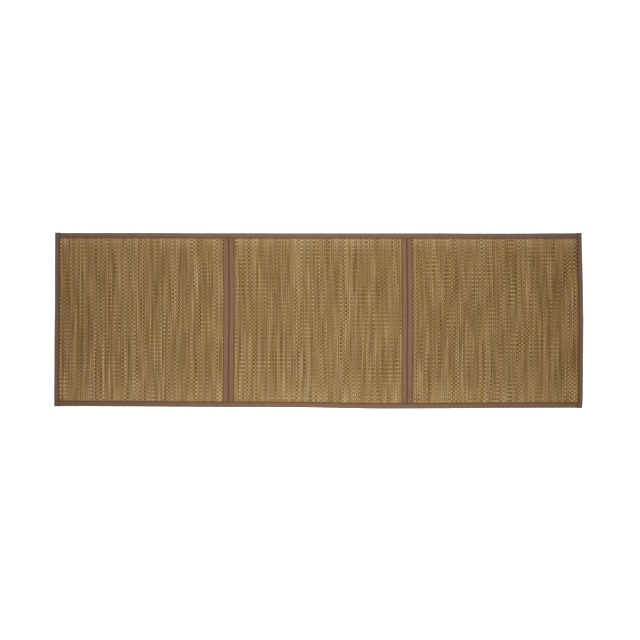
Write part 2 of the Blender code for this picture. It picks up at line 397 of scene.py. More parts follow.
def new_material(name):
    """A new Principled material: (material, its node tree, its shader)."""
    made = bpy.data.materials.new(name)
    made.use_nodes = True
    return made, made.node_tree, made.node_tree.nodes["Principled BSDF"]


def with_alpha(colour):
    """A colour as the four values that a node's colour socket takes."""
    return (*colour, 1.0)


def fill_ramp(ramp, stops):
    """Gives a new colour ramp its stops, each of them (place from 0 to 1, colour)."""
    while len(ramp.color_ramp.elements) < len(stops):
        ramp.color_ramp.elements.new(1.0)
    for element, (at, colour) in zip(ramp.color_ramp.elements, stops):
        element.position = at
        element.color = with_alpha(colour)


def streaks(tree, across, count, along, length, detail):
    """Noise drawn out along stems or threads: count streaks to a unit across, each of a length along."""
    narrow = add_node(tree, "ShaderNodeMath", {0: across, 1: count}, operation="MULTIPLY")
    drawn_out = add_node(tree, "ShaderNodeMath", {0: along, 1: length}, operation="DIVIDE")
    spot = add_node(tree, "ShaderNodeCombineXYZ", {"X": narrow, "Y": drawn_out})
    return add_node(tree, "ShaderNodeTexNoise", {"Vector": spot, "Scale": 1.0, "Detail": detail})


def woven_rush(weave):
    """Dried rush, pressed in the loom: fibrous stems with a dull waxy skin, each its own tan or olive.

    The UV map counts stems in U and metres along them in V. The attribute "raised" is the height as a share
    of half the panel, by which the crests are painted pale and the dips dark, and "pale" is how much paler
    the rush is than its own colours, as a share, less the painted shade in a few dips.
    """
    material, tree, shader = new_material("woven_rush")
    place = add_node(tree, "ShaderNodeUVMap", uv_map="UVMap")
    parts = add_node(tree, "ShaderNodeSeparateXYZ", {0: place})
    across, along = parts.outputs[0], parts.outputs[1]
    stem = add_node(tree, "ShaderNodeMath", {0: across}, operation="FLOOR")

    # Hue drifts over about ten stems and 220 mm of their length, as rush of one harvest lies together
    hue = streaks(tree, across, 0.1, along, 220 * MM, 0.0)
    ramp = add_node(tree, "ShaderNodeValToRGB", {"Fac": hue})
    tan = weave.tan
    fill_ramp(ramp, [(0.32, weave.olive), (0.43, tan), (0.5, weave.ochre), (0.58, tan), (0.68, weave.russet)])
    # Each stem has its own tone, which changes over 240 mm of its length
    tone = streaks(tree, stem, 1.17, along, 240 * MM, 2.0)
    tone = add_node(tree, "ShaderNodeMapRange", {"Value": tone, **NOISE_SPAN, "To Min": 0.66, "To Max": 1.34})
    # Fibres run along the stem, about eight across it
    fibre = streaks(tree, across, 8.0, along, 12 * MM, 3.0)
    fine = add_node(
        tree, "ShaderNodeMapRange", {"Value": fibre, **NOISE_SPAN, "To Min": 0.86, "To Max": 1.14}
    )
    # Half way between two strings the stems gape, and the rush is painted darker there: dust and painted
    # shade in the pits
    turn = add_node(tree, "ShaderNodeMath", {0: along, 1: 2 * np.pi / weave.crossing}, operation="MULTIPLY")
    turn = add_node(tree, "ShaderNodeMath", {0: turn}, operation="COSINE")
    dust_and_shade = add_node(
        tree, "ShaderNodeMapRange", {"Value": turn, "From Min": -1.0, "To Min": 0.95, "To Max": 1.05}
    )
    # Every second stem is the thinner, browner end of its rush
    second = add_node(tree, "ShaderNodeMath", {0: stem, 1: 2.0}, operation="MODULO")
    second = add_node(tree, "ShaderNodeMapRange", {"Value": second, "To Min": 0.88, "To Max": 1.12})
    # The stems' tops are painted pale, partly by wear and partly as a painted highlight, and the dips and
    # lines between them are painted dark, partly by dust and partly as painted shade
    raised = add_node(tree, "ShaderNodeAttribute", attribute_name="raised").outputs["Fac"]
    worn = add_node(tree, "ShaderNodeMapRange", {"Value": raised, "From Min": -0.6, "From Max": 1.0})
    worn = add_node(tree, "ShaderNodeMath", {0: worn, 1: 2.2}, operation="POWER")
    worn = add_node(tree, "ShaderNodeMapRange", {"Value": worn, "To Min": 0.63, "To Max": 1.49})
    pale = add_node(tree, "ShaderNodeAttribute", attribute_name="pale").outputs["Fac"]
    pale = add_node(tree, "ShaderNodeMath", {0: pale, 1: 1.0}, operation="ADD")
    shade = tone
    for factor in (fine, dust_and_shade, second, worn, pale):
        shade = add_node(tree, "ShaderNodeMath", {0: shade, 1: factor}, operation="MULTIPLY")

    # Rush bleaches as it pales: its yellow goes before its brown, so its dark parts have the most colour
    shade = add_node(tree, "ShaderNodeVectorMath", {0: shade, 1: (1.0, 1.25, 2.3)}, operation="POWER")
    colour = add_node(tree, "ShaderNodeVectorMath", {0: ramp, 1: shade}, operation="MULTIPLY")
    # Even the palest rush stays yellow: its blue is never more than half its green
    red, green, blue = add_node(tree, "ShaderNodeSeparateXYZ", {0: colour}).outputs
    most = add_node(tree, "ShaderNodeMath", {0: green, 1: 0.5}, operation="MULTIPLY")
    blue = add_node(tree, "ShaderNodeMath", {0: blue, 1: most}, operation="MINIMUM")
    colour = add_node(tree, "ShaderNodeCombineXYZ", {"X": red, "Y": green, "Z": blue})
    tree.links.new(colour.outputs[0], shader.inputs["Base Color"])

    rough = add_node(
        tree, "ShaderNodeMapRange", {"Value": fibre, **NOISE_SPAN, "To Min": 0.66, "To Max": 0.5}
    )
    tree.links.new(rough.outputs[0], shader.inputs["Roughness"])
    bump = add_node(tree, "ShaderNodeBump", {"Strength": 0.5, "Distance": 0.2 * MM, "Height": fibre})
    tree.links.new(bump.outputs[0], shader.inputs["Normal"])
    # The skin's wax is at 1.44, and its dry, fibrous surface gives back a little less light than smooth wax
    shader.inputs["IOR"].default_value = 1.36
    return material


def warp_string(weave):
    """Twisted hemp string: dull, with a slanting twist every 2 mm."""
    material, tree, shader = new_material("hemp_string")
    place = add_node(tree, "ShaderNodeTexCoord").outputs["Object"]
    twist = {"Vector": place, "Scale": 2 * np.pi / 20 / (2 * MM), "Distortion": 1.5}
    wave = add_node(tree, "ShaderNodeTexWave", twist, bands_direction="X").outputs["Fac"]
    tone = add_node(tree, "ShaderNodeMapRange", {"Value": wave, "To Min": 0.8, "To Max": 1.1})
    colour = add_node(tree, "ShaderNodeVectorMath", {0: weave.cord, "Scale": tone}, operation="SCALE")
    tree.links.new(colour.outputs[0], shader.inputs["Base Color"])
    shader.inputs["Roughness"].default_value = 0.8
    return material


def cloth_material(name, cloth, stops, rub):
    """Plain-woven cotton: two crossing sets of threads, each a little uneven in tone, dull and faintly fuzzy.

    The UV map gives metres from the strip's nearer cut edge in U and along it in V. stops are (metres from
    that edge, colour), and rub is the colour where the attribute "worn" says that it is greyed. A second
    attribute is the share of its light that dirt and painted shade take away.
    """
    material, tree, shader = new_material(name)
    place = add_node(tree, "ShaderNodeUVMap", uv_map="UVMap")
    parts = add_node(tree, "ShaderNodeSeparateXYZ", {0: place})
    across, along = parts.outputs[0], parts.outputs[1]
    reach = stops[-1][0]
    share = add_node(tree, "ShaderNodeMath", {0: across, 1: reach}, operation="DIVIDE")
    ramp = add_node(tree, "ShaderNodeValToRGB", {"Fac": share})
    fill_ramp(ramp, [(at / reach, colour) for at, colour in stops])
    worn = add_node(tree, "ShaderNodeAttribute", attribute_name="worn").outputs["Fac"]
    rubbed = {"Factor": worn, "A": ramp, "B": with_alpha(rub)}
    base = add_node(tree, "ShaderNodeMix", rubbed, data_type="RGBA")

    # Threads: streaks 20 mm long in each set, one to a thread
    ways = ((across, along), (along, across))
    warp, weft = [streaks(tree, first, 1 / cloth.weave, second, 20 * MM, 2.0) for first, second in ways]
    slub = add_node(tree, "ShaderNodeMath", {0: warp, 1: weft}, operation="ADD")
    slub = add_node(
        tree,
        "ShaderNodeMapRange",
        {"Value": slub, "From Min": 0.7, "From Max": 1.3, "To Min": 0.88, "To Max": 1.12},
    )
    # Fading in patches of about 50 mm
    spot = add_node(tree, "ShaderNodeTexCoord").outputs["Object"]
    patch = add_node(tree, "ShaderNodeTexNoise", {"Vector": spot, "Scale": 20.0, "Detail": 3.0})
    patch = add_node(
        tree, "ShaderNodeMapRange", {"Value": patch, **NOISE_SPAN, "To Min": 0.95, "To Max": 1.05}
    )
    # Dirt and painted shade take away a share of the light
    dirt_and_shade = add_node(tree, "ShaderNodeAttribute", attribute_name="dirt_and_shade").outputs["Fac"]
    clean = add_node(tree, "ShaderNodeMath", {0: 1.0, 1: dirt_and_shade}, operation="SUBTRACT")
    tone = slub
    for factor in (patch, clean):
        tone = add_node(tree, "ShaderNodeMath", {0: tone, 1: factor}, operation="MULTIPLY")
    colour = add_node(tree, "ShaderNodeVectorMath", {0: base, "Scale": tone}, operation="SCALE")
    tree.links.new(colour.outputs[0], shader.inputs["Base Color"])

    # Plain weave: a thread stands up where the product of the two sets' waves is high
    waves = []
    for distance in (across, along):
        turn = add_node(tree, "ShaderNodeMath", {0: distance, 1: np.pi / cloth.weave}, operation="MULTIPLY")
        waves.append(add_node(tree, "ShaderNodeMath", {0: turn}, operation="SINE"))
    height = add_node(tree, "ShaderNodeMath", {0: waves[0], 1: waves[1]}, operation="MULTIPLY")
    height = add_node(tree, "ShaderNodeMath", {0: height, 1: slub}, operation="ADD")
    bump = add_node(tree, "ShaderNodeBump", {"Strength": 0.35, "Distance": 0.12 * MM, "Height": height})
    tree.links.new(bump.outputs[0], shader.inputs["Normal"])
    shader.inputs["Roughness"].default_value = 0.82
    shader.inputs["Sheen Weight"].default_value = 0.15
    shader.inputs["Sheen Roughness"].default_value = 0.5
    return material


def binding_cloth(name, cloth, edge, turned_in, fading):
    """Binding cotton: russet as far as its edge is turned in, partly its own colour and partly painted shade,
    brown on the flat, greyed along the fold.

    The russet fades into the brown over the distance fading.
    """
    stops = [
        (0.0, edge),
        (turned_in, edge),
        (turned_in + fading, cloth.binding),
        (14.0 * MM, cloth.binding),
        (17.0 * MM, cloth.binding_fold),
        (26.0 * MM, cloth.binding_fold),
    ]
    return cloth_material(name, cloth, stops, cloth.binding_corner)


def hinge_cloth(cloth):
    """Hinge cotton: smooth and a little paler than the bindings, with painted shade along its edges and its
    crease.
    """
    stops = [
        (0.0, cloth.hinge_edge),
        (1.8 * MM, cloth.hinge_edge),
        (3.6 * MM, cloth.hinge),
        (15.0 * MM, cloth.hinge),
        (17.5 * MM, cloth.hinge_edge),
        (19.0 * MM, cloth.hinge_edge),
    ]
    return cloth_material("hinge_cotton", cloth, stops, cloth.hinge_edge)


def sewing_thread(cloth):
    """Waxed cotton thread: dark brown, with the twist of its plies."""
    material, tree, shader = new_material("sewing_thread")
    place = add_node(tree, "ShaderNodeTexCoord").outputs["Object"]
    noise = add_node(tree, "ShaderNodeTexNoise", {"Vector": place, "Scale": 900.0, "Detail": 2.0})
    tone = add_node(tree, "ShaderNodeMapRange", {"Value": noise, **NOISE_SPAN, "To Min": 0.8, "To Max": 1.25})
    colour = add_node(tree, "ShaderNodeVectorMath", {0: cloth.sewing, "Scale": tone}, operation="SCALE")
    tree.links.new(colour.outputs[0], shader.inputs["Base Color"])
    shader.inputs["Roughness"].default_value = 0.6
    return material


# Weave

# How far the panels reach from the mat's middle towards its long edges
PANEL_EDGE = WIDTH / 2 - PANEL_INSIDE

# Strings and stitches have four sides: the angle of each side's point, its number and the next one's
TURNS = np.arange(4) * np.pi / 2
SIDES = np.arange(4)
NEXT_SIDES = np.roll(SIDES, -1)

# The line between two stems sways by soft noise: its strength and most, in shares of a stem, and its length
SWAY = 0.4
SWAY_MOST = 0.42
SWAY_LENGTH = 160 * MM

# How many stems may lie in a handful, and over how many stems handfuls give way to single ones
HANDFULS = [2, 2, 3]
HANDFUL_RUN = 16.0

# A stem's rise: its reach's mean and unevenness, the least and most of it, and how long it stays alike
REACH = 0.9
REACH_UNEVEN = 0.45
REACH_BOUNDS = (0.1, 1.4)
REACH_PICKS = 2.0
REACH_LENGTH = 150 * MM
# The reach in a pick of no, one, two or three stems, and the power that makes the cosine plump
REACH_IN_PICK = np.array([0.0, 1.2, 0.75, 0.6])
PLUMP = 0.75

# The lines between stems: how far a high stem bulges over a low one, how much the stems gape half way between
# two strings, how unlike the lines' depths are, and how deep a line within a pick is beside one between two
BULGE = 0.16
GAPE = 0.7
NOTCH_UNLIKE = (0.5, 1.5)
NOTCH_IN_PICK = 0.5

# Rows of points to either side of the middle: more than the mat's width needs, as weave_rows() cuts them off
ROWS_MOST = 400

# How much paler each panel is made than the rush's own colours
PANEL_TONE = {"left": 0.06, "middle": 0.065, "right": 0.02}
# How much paler the rush is along the back and front, and darker in the middle, each with its width
PALE_BACK = (0.24, 28 * MM)
PALE_FRONT = (0.18, 72 * MM)
MIDDLE_DARKER = (0.035, 70 * MM)

# Painted shade darkens the dips where soft noise rises past a level, fully so a span above it; and how many
# stems wide and how long that noise's waves are
PIT_SHADE_FROM = 0.6
PIT_SHADE_SPAN = 0.35
PIT_SHADE_STEMS = 2.2
PIT_SHADE_LENGTH = 220 * MM
# How fast a dip's painted shade grows as it deepens, and how much of it the line beside it gets
PIT_STEEP = 1.6
PIT_BESIDE = 0.5


def stem_lines(weave, low, high, y, seed):
    """The lines between stems, as x at each place y along them: one row for each line.

    The lines stand a random width apart. Rush is thick at its root and thin at its tip, so each line sways to
    either side by soft noise of its own, by up to a share of the narrower stem beside it.
    """
    count = round((high - low) / weave.stem)
    draw = np.random.default_rng(seed)
    width = draw.uniform(1 - weave.unlike, 1 + weave.unlike, count)
    lines = np.concatenate([[0], np.cumsum(width)]) / width.sum() * (high - low) + low
    width = np.diff(lines)
    inner, along = np.meshgrid(lines[1:-1], y, indexing="ij")
    sway = SWAY * drift(inner, along, seed + 1, 2 * weave.stem, SWAY_LENGTH)
    sway = np.clip(sway, -SWAY_MOST, SWAY_MOST) * np.minimum(width[:-1], width[1:])[:, None]
    lines = np.repeat(lines[:, None], len(y), axis=1)
    lines[1:-1] += sway
    return lines


def picks(count, seed):
    """The number of each stem's pick, and how many stems lie in it: those go over and under together.

    A pick has one stem where the weaver laid them singly, and two or three where they were laid in handfuls.
    Either way lasts for some centimetres, until a soft noise of the stem's number changes sign.
    """
    draw = np.random.default_rng(seed + 2)
    number = np.zeros(count, dtype=int)
    stems_in = np.ones(count, dtype=int)
    place = 0
    pick = 0
    while place < count:
        handful = drift(float(place), 0.0, seed + 3, HANDFUL_RUN, 1.0) > 0.0
        stems = draw.choice(HANDFULS) if handful else 1
        number[place : place + stems] = pick
        stems_in[place : place + stems] = stems
        place += stems
        pick += 1
    return number, stems_in


def stem_rise(weave, pick, stems_in, y, seed):
    """1 where a stem lies over a string and -1 where it lies under it: a plump cosine along the stem.

    Neighbouring picks lie over and under in turn. A cosine's reach is less in a handful, and is a soft noise
    of the pick's number and of the place along it, so that some lie nearly flat.
    """
    wave = np.cos(np.pi * (y[None, :] / weave.crossing + pick[:, None]))
    uneven = drift(pick[:, None] * 1.0, y[None, :], seed + 4, REACH_PICKS, REACH_LENGTH)
    reach = np.clip(REACH + REACH_UNEVEN * uneven, *REACH_BOUNDS) * REACH_IN_PICK[stems_in][:, None]
    return np.sign(wave) * np.abs(wave) ** PLUMP * reach


def weave_rows(weave, rows_each):
    """Places along the stems: several for each string in the open, one for each under the bindings."""
    open_to = WIDTH / 2 - min(BINDING_WIDTH["back"], BINDING_WIDTH["front"]) + weave.crossing
    fine = np.arange(-ROWS_MOST, ROWS_MOST + 1) * weave.crossing / rows_each
    coarse = fine[::rows_each]
    coarse = coarse[(np.abs(coarse) >= open_to) & (np.abs(coarse) < PANEL_EDGE - 1 * MM)]
    rows = np.concatenate([[-PANEL_EDGE], coarse, fine[np.abs(fine) < open_to], [PANEL_EDGE]])
    return np.sort(rows)


def paleness(panel, y):
    """How much paler the rush is than its own colours at a place across the mat, as a share.

    It is each panel's own share, plus a soft hump along each long binding: a narrow one at the back and a
    wide one at the front, less a soft hollow in the middle.
    """
    back = PALE_BACK[0] * hump(WIDTH / 2 - BINDING_WIDTH["back"] - y, PALE_BACK[1])
    front = PALE_FRONT[0] * hump(WIDTH / 2 - BINDING_WIDTH["front"] + y, PALE_FRONT[1])
    middle_darker = MIDDLE_DARKER[0] * hump(y, MIDDLE_DARKER[1])
    return PANEL_TONE[panel] + back + front - middle_darker


def pits(weave, rise, y, seed):
    """How much darker a stem's dips are than the rush around them, as a share, at each stem and place.

    On a few stems, for 100 to 300 mm of their length, their dips under a string are painted dark as shade: a
    soft noise of the stem's number and the place is cut off low.
    """
    stem = np.arange(len(rise))[:, None] * 1.0
    noise = drift(stem, y[None, :], seed + 7, PIT_SHADE_STEMS, PIT_SHADE_LENGTH)
    shaded = smooth((noise - PIT_SHADE_FROM) / PIT_SHADE_SPAN)
    return weave.pit * shaded * np.clip(-rise * PIT_STEEP, 0, 1)


def weave_face(weave, name, panel, face, rows_each, material):
    """One face of a woven panel: a grid of which each line between two stems and each stem's crown is a row.

    A crown's height is the panel's half height times a middle share plus the stem's rise times a swing, which
    turns over from the upper to the lower face because a stem that lies high above lies high below. Between
    two stems the height is their mean less a notch, which is deepest half way between two strings, where the
    stems gape, and a stem bulges over its lower neighbour.
    """
    low, high = PANELS[panel]
    seed = weave.seed + 10 * list(PANELS).index(panel)
    y = weave_rows(weave, rows_each)
    lines = stem_lines(weave, low, high, y, seed)
    count = len(lines) - 1
    pick, stems_in = picks(count, seed)
    rise = stem_rise(weave, pick, stems_in, y, seed)
    width = np.diff(lines, axis=0)
    lines[1:-1] += (rise[:-1] - rise[1:]) / 2 * np.minimum(width[:-1], width[1:]) * BULGE

    crown = weave.middle + weave.swing * face * rise
    sides = np.concatenate([crown[:1], crown, crown[-1:]])
    depth = weave.notch * np.random.default_rng(seed + 6).uniform(*NOTCH_UNLIKE, count + 1)
    depth[1:-1] *= np.where(np.diff(pick) == 0, NOTCH_IN_PICK, 1.0)
    gape = 1 - GAPE * np.cos(2 * np.pi * y / weave.crossing)
    x = np.empty((2 * count + 1, len(y)))
    height = np.empty_like(x)
    x[::2] = lines
    x[1::2] = (lines[:-1] + lines[1:]) / 2
    height[::2] = (sides[:-1] + sides[1:]) / 2 - depth[:, None] * gape
    height[1::2] = crown
    height = np.minimum(height, 1.0)

    along = np.broadcast_to(y, x.shape)
    half = panel_half_height(x, along)
    bent = rounded(np.minimum(x - low, high - x), half) * rounded(PANEL_EDGE - np.abs(along), half)
    z = half * bent * height
    z[[0, -1]] = 0
    z[:, [0, -1]] = 0
    points = lie_uneven(x, along, face * z)
    uv = np.stack(np.broadcast_arrays(np.arange(len(x))[:, None] / 2, along), axis=-1)
    quads = grid_quads(*x.shape, turned=face < 0)
    pale = np.repeat(paleness(panel, y)[None, :], len(x), axis=0)
    # Painted shade darkens a few stems' dips, and by a share of it the lines beside them
    dark = pits(weave, face * rise, y, seed)
    pale[1::2] -= dark
    pale[2:-1:2] -= np.maximum(dark[:-1], dark[1:]) * PIT_BESIDE
    piece = add_piece(name, points, quads, material, uv, {"raised": height, "pale": pale})
    in_line = np.zeros(x.shape, dtype=bool)
    in_line[::2] = True
    crease_edges(piece.data, in_line.ravel())
    return piece


def warp_strings(weave, name, panel, material):
    """A panel's warp strings: straight four-sided strings at the middle height, one at each crossing."""
    low, high = PANELS[panel]
    last = int((PANEL_EDGE - 2 * MM) / weave.crossing)
    y = np.arange(-last, last + 1) * weave.crossing
    x = np.linspace(low + 1 * MM, high - 1 * MM, 5)
    along, string, angle = np.meshgrid(x, y, TURNS, indexing="ij")
    points = lie_uneven(along, string + weave.string * np.sin(angle), weave.string * np.cos(angle))
    points = points.transpose(1, 0, 2, 3).reshape(len(y), -1, 3)
    side, after = SIDES[None, :], NEXT_SIDES[None, :]
    ring = np.arange(len(x) - 1)[:, None] * 4
    quads = np.stack([ring + side, ring + after, ring + after + 4, ring + side + 4], axis=-1)
    ends = np.array([SIDES[::-1], SIDES + 4 * (len(x) - 1)])
    quads = np.concatenate([quads.reshape(-1, 4), ends])[:, ::-1]
    faces = (quads[None] + np.arange(len(y))[:, None, None] * 4 * len(x)).reshape(-1, 4)
    return add_piece(name, points, faces, material)


# Cloth strips

# Starts of the draws for the unevenness of the long bindings, end bindings, creases and tapes
LONG_SEED = 40
END_SEED = 60
CREASE_SEED = 70
TAPE_SEED = 80

# Distances from a binding's inner edge to the points across its leg, and angles of those round its fold
LEG_POINTS = np.array([0.0, 0.35, 1.0, 2.0, 3.4, 6.0, 11.0]) * MM
FOLD_TURNS = np.radians([90, 60, 30, 0, -30, -60, -90])

# Distances from a hinge's fold line to the points across one half of its tape
TAPE_POINTS = np.array([0, 0.6, 1.4, 2.4, 3.4, 4.5, 7.5, 11.5, 15.5, 17.2, 18.1, 18.75]) * MM

# Where a binding has more rings of points: about a hinge's fold line, and about a long binding's inner edge
RINGS_AT_HINGE = np.array([-19.2, -17.2, -3, -1.5, 0, 1.5, 3, 17.2, 19.2]) * MM
RINGS_AT_STEP = np.array([-1, 0, 1]) * MM
# How far inside an end binding's end its cloth is turned in, and how high it still is there
TUCK = 0.8 * MM
TUCK_HEIGHT = 0.9

# How far from its cut edge a strip is rounded off, and how deep it dips at its stitches
ROUNDED_OVER = 0.9 * MM
STITCH_DIP = 0.2 * MM
# How long the soft noise of the cloth's slack is: along and across a binding, along its fold, where it has no
# second length, and across and along a tape
LEG_SLACK = (45 * MM, 30 * MM)
FOLD_SLACK = (60 * MM, 1.0)
TAPE_SLACK = (20 * MM, 50 * MM)

# How far a long binding lifts over a hinge's tapes and sags over their crease, and how wide the sag is
TAPE_LIFT = 0.25 * MM
CREASE_SAG = 0.9 * MM
CREASE_SAG_WIDTH = 3.2 * MM
# How wide each hinge's crease wanders as a share of the cloth's wander, how slowly, and how far from the fold
# it draws the cloth along
WANDER = {"left": 0.5, "right": 1.0}
WANDER_LENGTH = 260 * MM
WANDER_REACH = 12 * MM

# Wear and painted shade of the long bindings: dirt at the middle, how much more painted shade darkens them at
# the ends, and greying at either end
LONG_WEAR_AND_SHADE = {"back": (0.04, 0.13, 0.1, 0.3), "front": (0.08, 0.1, 0.45, 0.0)}
# How far from the mat's middle that greying starts, and over how far it grows
GREY_FROM = 200 * MM
GREY_OVER = 700 * MM
# The end bindings' painted shade and greying, what their corners add to each, and the dirt and painted shade
# in lines along those corners
END_WEAR_AND_SHADE = (0.14, 0.35)
CORNER_WEAR = (-0.06, 0.45)
LINE_DIRT_AND_SHADE = 0.35


def slackness(cloth, x, y, seed, long_x, long_y):
    """How far the cloth sinks: from nothing to its slack, by soft noise about long_x by long_y."""
    return cloth.slack * (0.5 + 0.5 * np.clip(drift(x, y, seed, long_x, long_y), -1, 1))


def edge_drop(cloth, distance, seam):
    """How far a strip's face drops at a distance from its cut edge, which is rounded, and at its seam."""
    rim = cloth.rounding * np.clip(1 - distance / ROUNDED_OVER, 0, 1) ** 2
    return rim + STITCH_DIP * hump(distance - seam, ROUNDED_OVER)


def past_seam(inset, width):
    """0 between a binding's inner edge and its seam, and 1 from 6 mm inside that edge."""
    return smooth((width - inset - STITCH_FROM_EDGE) / (4 * MM))


def folded_profile(cloth, width, radius, leg_height, along, seed):
    """Insets and heights of a strip folded round an edge: top leg, round fold, bottom leg.

    leg_height(inset) is the legs' outer height, before their edges are rounded off and their seams dip. Soft
    noise lets both legs and the fold sink by up to the cloth's slack.
    """
    reach = LEG_POINTS[:, None]
    leg = leg_height(width - reach) - edge_drop(cloth, reach, STITCH_FROM_EDGE)
    top = leg - slackness(cloth, along, reach, seed, *LEG_SLACK)
    under = leg - slackness(cloth, along, reach, seed + 1, *LEG_SLACK)
    pulled = slackness(cloth, along, 0.0, seed + 2, *FOLD_SLACK)
    turn = FOLD_TURNS[:, None]
    arc_inset = radius - (radius - pulled) * np.cos(turn)
    share = (np.sin(turn) + 1) / 2
    arc_height = np.sin(turn) * (share * top[-1] + (1 - share) * under[-1])
    insets = np.broadcast_to(width - reach, top.shape)
    heights = np.concatenate([top, arc_height, -under[::-1]])
    return np.concatenate([insets, arc_inset, insets[::-1]]), heights


def strip_uv(points, along):
    """Metres from the nearer inner edge, measured round the middle ring of a strip's points, and along it."""
    middle = points[:, points.shape[1] // 2]
    steps = np.linalg.norm(np.diff(middle, axis=0), axis=-1)
    run = np.concatenate([[0], np.cumsum(steps)])
    across = np.minimum(run, run[-1] - run)
    return np.stack(np.broadcast_arrays(across[:, None], along), axis=-1)


def along_strip(low, high, step, extra=()):
    """Evenly spaced places from low to high, with some more."""
    even = np.linspace(low, high, int(round((high - low) / step)) + 1)
    extra = [place for place in extra if low < place < high]
    return np.unique(np.concatenate([even, extra]))


def table_places(table):
    """The places along an edge at which one of the two tables gives its insets."""
    return [row[0] * MM for row in table]


def long_binding_height(x, inset, width):
    """Outer height of a long binding's legs: it lifts a little over the tapes and sags over their creases."""
    distance, half_tape = from_fold(x)
    over_tape = TAPE_LIFT * (1 - smooth((distance - half_tape + 1 * MM) / (2 * MM)))
    sag = CREASE_SAG * hump(distance, CREASE_SAG_WIDTH) * smooth((inset - 4 * MM) / (8 * MM))
    return np.minimum(inside_long_binding(x, inset, width) + CLOTH + over_tape, THICKNESS / 2) - sag


def long_binding(cloth, edge, material):
    """A cloth strip folded round a long edge, whose ends sink beneath the end bindings."""
    width = BINDING_WIDTH[edge]
    side = 1 if edge == "back" else -1
    end = LENGTH / 2 - END_UNDER_BINDING
    at_hinges = [fold + off for fold in HINGE_X.values() for off in RINGS_AT_HINGE]
    x = along_strip(-end, end, cloth.step, table_places(LONG_EDGE_INSETS) + at_hinges)
    radius = THICKNESS / 2 - LAYER * lap(*from_end(x)) - drawn_in(*from_end(x))
    inset, height = folded_profile(
        cloth, width, radius, lambda at: long_binding_height(x, at, width), x, LONG_SEED + side
    )
    points = lie_uneven(np.broadcast_to(x, inset.shape), side * (WIDTH / 2 - inset), height)
    dirt, more, grey_left, grey_right = LONG_WEAR_AND_SHADE[edge]
    grey = grey_left * smooth((-x - GREY_FROM) / GREY_OVER) + grey_right * smooth((x - GREY_FROM) / GREY_OVER)
    # Dirt all along, and painted shade that darkens the binding more towards the mat's ends
    wear = {
        "dirt_and_shade": dirt + more * np.abs(2 * x / LENGTH) ** 3 + 0 * inset,
        "worn": grey * past_seam(inset, width),
    }
    name = f"binding_{edge}_cloth"
    return add_strip(name, points, side > 0, material, strip_uv(points, x), wear)


def on_long_binding(y):
    """0 where an end binding lies on the weave, and 1 on the mat's corners, over a long binding's end."""
    inset, width = from_long_edge(y)
    return smooth((width - inset) / (1.6 * MM) + 0.5)


def end_binding(cloth, end, material):
    """A cloth strip folded round an end of the mat, over the ends of both long bindings."""
    width = BINDING_WIDTH[end]
    side = 1 if end == "right" else -1
    past_back, past_front = END_OVERHANG[end]
    pull_back, pull_front = END_PULL[end]
    low = -WIDTH / 2 - past_front + pull_front
    high = WIDTH / 2 + past_back - pull_back
    rings = [low + TUCK, high - TUCK]
    rings += [WIDTH / 2 - BINDING_WIDTH["back"] + off for off in RINGS_AT_STEP]
    rings += [BINDING_WIDTH["front"] - WIDTH / 2 + off for off in RINGS_AT_STEP]
    y = along_strip(low, high, cloth.step, table_places(END_INSETS) + rings)
    y = np.concatenate([y[:1], y, y[-1:]])
    corner = on_long_binding(y)
    inset, height = folded_profile(
        cloth,
        width,
        np.full_like(y, THICKNESS / 2),
        lambda at: THICKNESS / 2 - drawn_in(at, width) + cloth.proud * corner,
        y,
        END_SEED + side,
    )
    # The cut ends are turned in: their last ring falls to the middle height
    height[:, [1, -2]] *= TUCK_HEIGHT
    height[:, [0, -1]] = 0
    height = np.maximum(height, -THICKNESS / 2)
    points = lie_uneven(side * (LENGTH / 2 - inset), np.broadcast_to(y, inset.shape), height)
    # Dirt and painted shade darken the corner's outer side and end, and where it steps down to the weave
    from_edge, long_width = from_long_edge(y)
    outline = np.maximum(hump(inset, 2.5 * MM), hump(np.maximum(from_edge, 0), 2.5 * MM))
    lines = np.maximum(outline * corner, hump(from_edge - long_width, 1.3 * MM))
    # Painted shade darkens the whole end binding
    wear = {
        "dirt_and_shade": END_WEAR_AND_SHADE[0] + CORNER_WEAR[0] * corner + LINE_DIRT_AND_SHADE * lines,
        "worn": (END_WEAR_AND_SHADE[1] + CORNER_WEAR[1] * corner) * past_seam(inset, width),
    }
    name = f"binding_{end}_cloth"
    return add_strip(name, points, side < 0, material, strip_uv(points, y), wear)


def crease_x(cloth, hinge, y):
    """Where a hinge's crease runs: its fold line with a slow wander."""
    seed = CREASE_SEED + list(HINGE_X).index(hinge)
    return HINGE_X[hinge] + cloth.wander * drift(y, 0.0, seed, WANDER_LENGTH, 1.0) * WANDER[hinge]


def tape_height(x, y):
    """Outer height of a hinge's two tapes, before their edges are rounded off and their cloth sinks."""
    return inside_tape(x, y) + CLOTH


